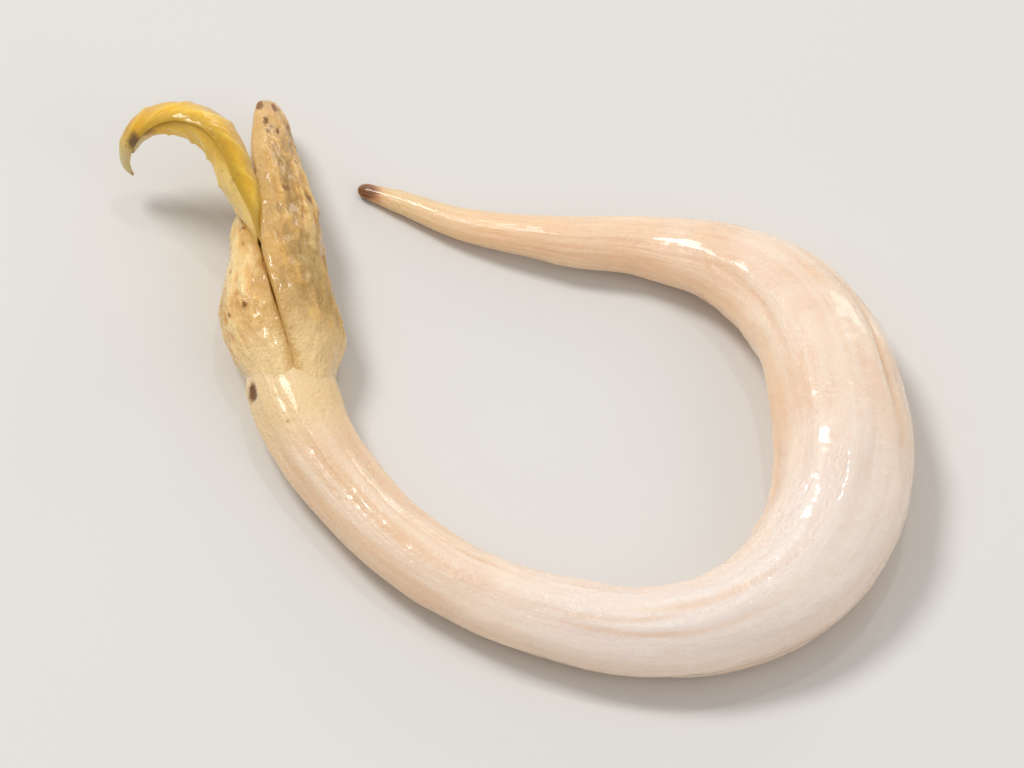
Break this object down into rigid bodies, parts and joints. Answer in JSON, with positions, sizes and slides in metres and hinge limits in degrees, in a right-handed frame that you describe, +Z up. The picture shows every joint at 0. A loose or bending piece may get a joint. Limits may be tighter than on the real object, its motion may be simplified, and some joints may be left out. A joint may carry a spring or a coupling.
{
  "type": "bean sprout",
  "caption": "Cooked mung bean sprout curled in a loop, with a tapering root, two seed halves and a pair of hooked young leaves.",
  "frame": {"origin": "middle of the bounding box's underside, on the surface that the sprout lies on", "axes": "+Z up from that surface; +X to the right and +Y away in the picture's view, so that the loop is on the +X side, the head on the -X side, and the seed halves point along +Y"},
  "size_m": [0.0182, 0.0156, 0.003],
  "materials": {
    "stalk": "wet, translucent cream-white plant tissue with fine lengthwise ribs, pinkish tan towards the root tip",
    "seed_half": "moist golden tan bean flesh with fine wrinkles and small brown freckles",
    "young_leaf": "moist bright yellow leaf tissue with fine veins and a browned tip"
  },
  "bodies": {
    "root": {"stem": "stalk", "cotyledon_left": "seed_half", "cotyledon_right": "seed_half", "leaf_outer": "young_leaf", "leaf_inner": "young_leaf"}
  },
  "joints": []
}
